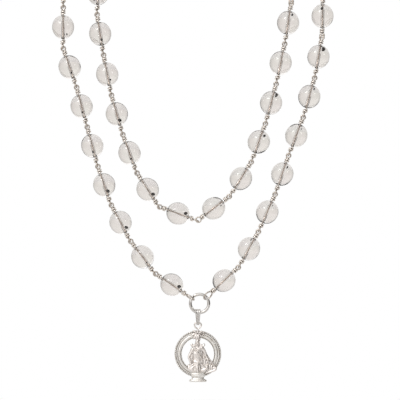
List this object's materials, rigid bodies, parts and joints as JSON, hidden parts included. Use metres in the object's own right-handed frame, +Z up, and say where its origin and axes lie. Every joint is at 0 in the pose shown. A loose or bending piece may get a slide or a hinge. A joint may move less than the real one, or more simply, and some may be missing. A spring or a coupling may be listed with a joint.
{
  "type": "prayer bead strand",
  "caption": "Prayer strand of rock-crystal beads on wire-wrapped silver links, worn doubled, with a jump ring, a bail and a round pendant with a small seated figure.",
  "frame": {"origin": "centre of the neck that the strand hangs round, level with the strand at the nape", "axes": "+Z up, the front loops and the pendant face -Y, +X to the right as seen from the front"},
  "size_m": [0.1255, 0.082, 0.2091],
  "materials": {
    "rock_crystal": "clear polished rock crystal",
    "wire_silver": "bright drawn silver wire, slightly darkened between the turns",
    "polished_silver": "mirror-polished silver",
    "pendant_silver": "bright cast silver, darker in the hollows"
  },
  "bodies": {
    "neck_part": {"nape_strand_over": "rock_crystal", "nape_strand_under": "rock_crystal"},
    "outer_level_1": {"outer_left_wire_1": "wire_silver", "outer_right_wire_1": "wire_silver"},
    "outer_left_bead_1": {"outer_left_bead_1": "rock_crystal"},
    "outer_right_bead_1": {"outer_right_bead_1": "rock_crystal"},
    "outer_level_2": {"outer_left_wire_2": "wire_silver", "outer_right_wire_2": "wire_silver"},
    "outer_left_bead_2": {"outer_left_bead_2": "rock_crystal"},
    "outer_right_bead_2": {"outer_right_bead_2": "rock_crystal"},
    "outer_level_3": {"outer_left_wire_3": "wire_silver", "outer_right_wire_3": "wire_silver"},
    "outer_left_bead_3": {"outer_left_bead_3": "rock_crystal"},
    "outer_right_bead_3": {"outer_right_bead_3": "rock_crystal"},
    "outer_level_4": {"outer_left_wire_4": "wire_silver", "outer_right_wire_4": "wire_silver"},
    "outer_left_bead_4": {"outer_left_bead_4": "rock_crystal"},
    "outer_right_bead_4": {"outer_right_bead_4": "rock_crystal"},
    "outer_level_5": {"outer_left_wire_5": "wire_silver", "outer_right_wire_5": "wire_silver"},
    "outer_left_bead_5": {"outer_left_bead_5": "rock_crystal"},
    "outer_right_bead_5": {"outer_right_bead_5": "rock_crystal"},
    "outer_level_6": {"outer_left_wire_6": "wire_silver", "outer_right_wire_6": "wire_silver"},
    "outer_left_bead_6": {"outer_left_bead_6": "rock_crystal"},
    "outer_right_bead_6": {"outer_right_bead_6": "rock_crystal"},
    "outer_level_7": {"outer_left_wire_7": "wire_silver", "outer_right_wire_7": "wire_silver"},
    "outer_left_bead_7": {"outer_left_bead_7": "rock_crystal"},
    "outer_right_bead_7": {"outer_right_bead_7": "rock_crystal"},
    "inner_level_1": {"inner_left_wire_1": "wire_silver", "inner_right_wire_1": "wire_silver"},
    "inner_left_bead_1": {"inner_left_bead_1": "rock_crystal"},
    "inner_right_bead_1": {"inner_right_bead_1": "rock_crystal"},
    "inner_level_2": {"inner_left_wire_2": "wire_silver", "inner_right_wire_2": "wire_silver"},
    "inner_left_bead_2": {"inner_left_bead_2": "rock_crystal"},
    "inner_right_bead_2": {"inner_right_bead_2": "rock_crystal"},
    "inner_level_3": {"inner_left_wire_3": "wire_silver", "inner_right_wire_3": "wire_silver"},
    "inner_left_bead_3": {"inner_left_bead_3": "rock_crystal"},
    "inner_right_bead_3": {"inner_right_bead_3": "rock_crystal"},
    "inner_level_4": {"inner_left_wire_4": "wire_silver", "inner_right_wire_4": "wire_silver"},
    "inner_left_bead_4": {"inner_left_bead_4": "rock_crystal"},
    "inner_right_bead_4": {"inner_right_bead_4": "rock_crystal"},
    "inner_level_5": {"inner_left_wire_5": "wire_silver", "inner_right_wire_5": "wire_silver"},
    "inner_left_bead_5": {"inner_left_bead_5": "rock_crystal"},
    "inner_right_bead_5": {"inner_right_bead_5": "rock_crystal"},
    "inner_level_6": {"inner_left_wire_6": "wire_silver", "inner_right_wire_6": "wire_silver"},
    "inner_left_bead_6": {"inner_left_bead_6": "rock_crystal"},
    "inner_right_bead_6": {"inner_right_bead_6": "rock_crystal"},
    "jump_ring": {"jump_ring": "polished_silver"},
    "bail": {"pendant_bail": "polished_silver"},
    "pendant": {"aureole_ring": "pendant_silver", "seated_figure": "pendant_silver", "pedestal": "pendant_silver"}
  },
  "joints": [
    {"name": "pendant_sway", "type": "hinge", "parent": "bail", "child": "pendant", "pos_m": [0.00205, -0.022, -0.17203], "axis": [0, 1, 0], "range_deg": [-35, 35]},
    {"name": "bail_swing", "type": "hinge", "parent": "jump_ring", "child": "bail", "pos_m": [0.00205, -0.022, -0.16593], "axis": [1, 0, 0], "range_deg": [-40, 40]},
    {"name": "jump_ring_swing", "type": "hinge", "parent": "outer_level_7", "child": "jump_ring", "pos_m": [0.0026, -0.022, -0.15946], "axis": [0.9969, 0, 0.0785], "range_deg": [-14, 14]},
    {"name": "outer_swing_1", "type": "hinge", "parent": "neck_part", "child": "outer_level_1", "pos_m": [-0.00035, -0.022, -0.04532], "axis": [0.9991, 0, 0.0428], "range_deg": [-20, 20]},
    {"name": "outer_swing_2", "type": "hinge", "parent": "outer_level_1", "child": "outer_level_2", "pos_m": [0.00104, -0.022, -0.06298], "axis": [0.9992, 0, 0.0397], "range_deg": [-20, 20]},
    {"name": "outer_swing_3", "type": "hinge", "parent": "outer_level_2", "child": "outer_level_3", "pos_m": [0.00089, -0.022, -0.08061], "axis": [0.999, 0, 0.0446], "range_deg": [-20, 20]},
    {"name": "outer_swing_4", "type": "hinge", "parent": "outer_level_3", "child": "outer_level_4", "pos_m": [-0.00002, -0.022, -0.09799], "axis": [0.9984, 0, 0.0574], "range_deg": [-20, 20]},
    {"name": "outer_swing_5", "type": "hinge", "parent": "outer_level_4", "child": "outer_level_5", "pos_m": [-0.00002, -0.022, -0.11529], "axis": [0.9978, 0, 0.0666], "range_deg": [-20, 20]},
    {"name": "outer_swing_6", "type": "hinge", "parent": "outer_level_5", "child": "outer_level_6", "pos_m": [0.00055, -0.022, -0.13173], "axis": [0.9971, 0, 0.0755], "range_deg": [-20, 20]},
    {"name": "outer_swing_7", "type": "hinge", "parent": "outer_level_6", "child": "outer_level_7", "pos_m": [0.00162, -0.022, -0.14704], "axis": [0.9969, 0, 0.0785], "range_deg": [-20, 20]},
    {"name": "inner_swing_1", "type": "hinge", "parent": "neck_part", "child": "inner_level_1", "pos_m": [0.00038, -0.022, -0.03009], "axis": [0.9984, 0, 0.0569], "range_deg": [-20, 20]},
    {"name": "inner_swing_2", "type": "hinge", "parent": "inner_level_1", "child": "inner_level_2", "pos_m": [0.00038, -0.022, -0.04817], "axis": [0.9981, 0, 0.0609], "range_deg": [-20, 20]},
    {"name": "inner_swing_3", "type": "hinge", "parent": "inner_level_2", "child": "inner_level_3", "pos_m": [0.00022, -0.022, -0.0661], "axis": [0.9977, 0, 0.0678], "range_deg": [-20, 20]},
    {"name": "inner_swing_4", "type": "hinge", "parent": "inner_level_3", "child": "inner_level_4", "pos_m": [0.00038, -0.022, -0.08373], "axis": [0.9971, 0, 0.0767], "range_deg": [-20, 20]},
    {"name": "inner_swing_5", "type": "hinge", "parent": "inner_level_4", "child": "inner_level_5", "pos_m": [0.00038, -0.022, -0.10093], "axis": [0.9955, 0, 0.0953], "range_deg": [-20, 20]},
    {"name": "inner_swing_6", "type": "hinge", "parent": "inner_level_5", "child": "inner_level_6", "pos_m": [0.00051, -0.022, -0.11636], "axis": [0.989, 0, 0.1478], "range_deg": [-20, 20]},
    {"name": "outer_left_bead_1_spin", "type": "hinge", "parent": "outer_level_1", "child": "outer_left_bead_1", "pos_m": [-0.05519, -0.022, -0.05644], "axis": [-0.3256, 0, 0.9455], "continuous": true},
    {"name": "outer_right_bead_1_spin", "type": "hinge", "parent": "outer_level_1", "child": "outer_right_bead_1", "pos_m": [0.05589, -0.022, -0.05185], "axis": [0.1736, 0, 0.9848], "continuous": true},
    {"name": "outer_left_bead_2_spin", "type": "hinge", "parent": "outer_level_2", "child": "outer_left_bead_2", "pos_m": [-0.04985, -0.022, -0.07393], "axis": [-0.2588, 0, 0.9659], "continuous": true},
    {"name": "outer_right_bead_2_spin", "type": "hinge", "parent": "outer_level_2", "child": "outer_right_bead_2", "pos_m": [0.05178, -0.022, -0.06966], "axis": [0.2756, 0, 0.9613], "continuous": true},
    {"name": "outer_left_bead_3_spin", "type": "hinge", "parent": "outer_level_3", "child": "outer_left_bead_3", "pos_m": [-0.04511, -0.022, -0.09161], "axis": [-0.2588, 0, 0.9659], "continuous": true},
    {"name": "outer_right_bead_3_spin", "type": "hinge", "parent": "outer_level_3", "child": "outer_right_bead_3", "pos_m": [0.04598, -0.022, -0.087], "axis": [0.3584, 0, 0.9336], "continuous": true},
    {"name": "outer_left_bead_4_spin", "type": "hinge", "parent": "outer_level_4", "child": "outer_left_bead_4", "pos_m": [-0.03976, -0.022, -0.1091], "axis": [-0.3256, 0, 0.9455], "continuous": true},
    {"name": "outer_right_bead_4_spin", "type": "hinge", "parent": "outer_level_4", "child": "outer_right_bead_4", "pos_m": [0.03972, -0.022, -0.10419], "axis": [0.3256, 0, 0.9455], "continuous": true},
    {"name": "outer_left_bead_5_spin", "type": "hinge", "parent": "outer_level_5", "child": "outer_left_bead_5", "pos_m": [-0.03249, -0.022, -0.12583], "axis": [-0.4695, 0, 0.8829], "continuous": true},
    {"name": "outer_right_bead_5_spin", "type": "hinge", "parent": "outer_level_5", "child": "outer_right_bead_5", "pos_m": [0.03302, -0.022, -0.1212], "axis": [0.4067, 0, 0.9135], "continuous": true},
    {"name": "outer_left_bead_6_spin", "type": "hinge", "parent": "outer_level_6", "child": "outer_left_bead_6", "pos_m": [-0.02269, -0.022, -0.14122], "axis": [-0.6018, 0, 0.7986], "continuous": true},
    {"name": "outer_right_bead_6_spin", "type": "hinge", "parent": "outer_level_6", "child": "outer_right_bead_6", "pos_m": [0.02486, -0.022, -0.13756], "axis": [0.4848, 0, 0.8746], "continuous": true},
    {"name": "outer_left_bead_7_spin", "type": "hinge", "parent": "outer_level_7", "child": "outer_left_bead_7", "pos_m": [-0.00959, -0.022, -0.15364], "axis": [-0.829, 0, 0.5592], "continuous": true},
    {"name": "outer_right_bead_7_spin", "type": "hinge", "parent": "outer_level_7", "child": "outer_right_bead_7", "pos_m": [0.01373, -0.022, -0.1518], "axis": [0.7314, 0, 0.682], "continuous": true},
    {"name": "inner_left_bead_1_spin", "type": "hinge", "parent": "inner_level_1", "child": "inner_left_bead_1", "pos_m": [-0.04159, -0.022, -0.04161], "axis": [-0.1564, 0, 0.9877], "continuous": true},
    {"name": "inner_right_bead_1_spin", "type": "hinge", "parent": "inner_level_1", "child": "inner_right_bead_1", "pos_m": [0.04234, -0.022, -0.03666], "axis": [0.1564, 0, 0.9877], "continuous": true},
    {"name": "inner_left_bead_2_spin", "type": "hinge", "parent": "inner_level_2", "child": "inner_left_bead_2", "pos_m": [-0.03841, -0.022, -0.05962], "axis": [-0.1908, 0, 0.9816], "continuous": true},
    {"name": "inner_right_bead_2_spin", "type": "hinge", "parent": "inner_level_2", "child": "inner_right_bead_2", "pos_m": [0.03901, -0.022, -0.05464], "axis": [0.2079, 0, 0.9781], "continuous": true},
    {"name": "inner_left_bead_3_spin", "type": "hinge", "parent": "inner_level_3", "child": "inner_left_bead_3", "pos_m": [-0.03414, -0.022, -0.0774], "axis": [-0.2756, 0, 0.9613], "continuous": true},
    {"name": "inner_right_bead_3_spin", "type": "hinge", "parent": "inner_level_3", "child": "inner_right_bead_3", "pos_m": [0.03474, -0.022, -0.07243], "axis": [0.2588, 0, 0.9659], "continuous": true},
    {"name": "inner_left_bead_4_spin", "type": "hinge", "parent": "inner_level_4", "child": "inner_left_bead_4", "pos_m": [-0.02849, -0.022, -0.0948], "axis": [-0.342, 0, 0.9397], "continuous": true},
    {"name": "inner_right_bead_4_spin", "type": "hinge", "parent": "inner_level_4", "child": "inner_right_bead_4", "pos_m": [0.02924, -0.022, -0.08987], "axis": [0.342, 0, 0.9397], "continuous": true},
    {"name": "inner_left_bead_5_spin", "type": "hinge", "parent": "inner_level_5", "child": "inner_left_bead_5", "pos_m": [-0.02038, -0.022, -0.11107], "axis": [-0.5446, 0, 0.8387], "continuous": true},
    {"name": "inner_right_bead_5_spin", "type": "hinge", "parent": "inner_level_5", "child": "inner_right_bead_5", "pos_m": [0.02126, -0.022, -0.10623], "axis": [0.5299, 0, 0.848], "continuous": true},
    {"name": "inner_left_bead_6_spin", "type": "hinge", "parent": "inner_level_6", "child": "inner_left_bead_6", "pos_m": [-0.0068, -0.022, -0.12187], "axis": [-0.9397, 0, 0.342], "continuous": true},
    {"name": "inner_right_bead_6_spin", "type": "hinge", "parent": "inner_level_6", "child": "inner_right_bead_6", "pos_m": [0.00911, -0.022, -0.11949], "axis": [0.7986, 0, 0.6018], "continuous": true}
  ]
}
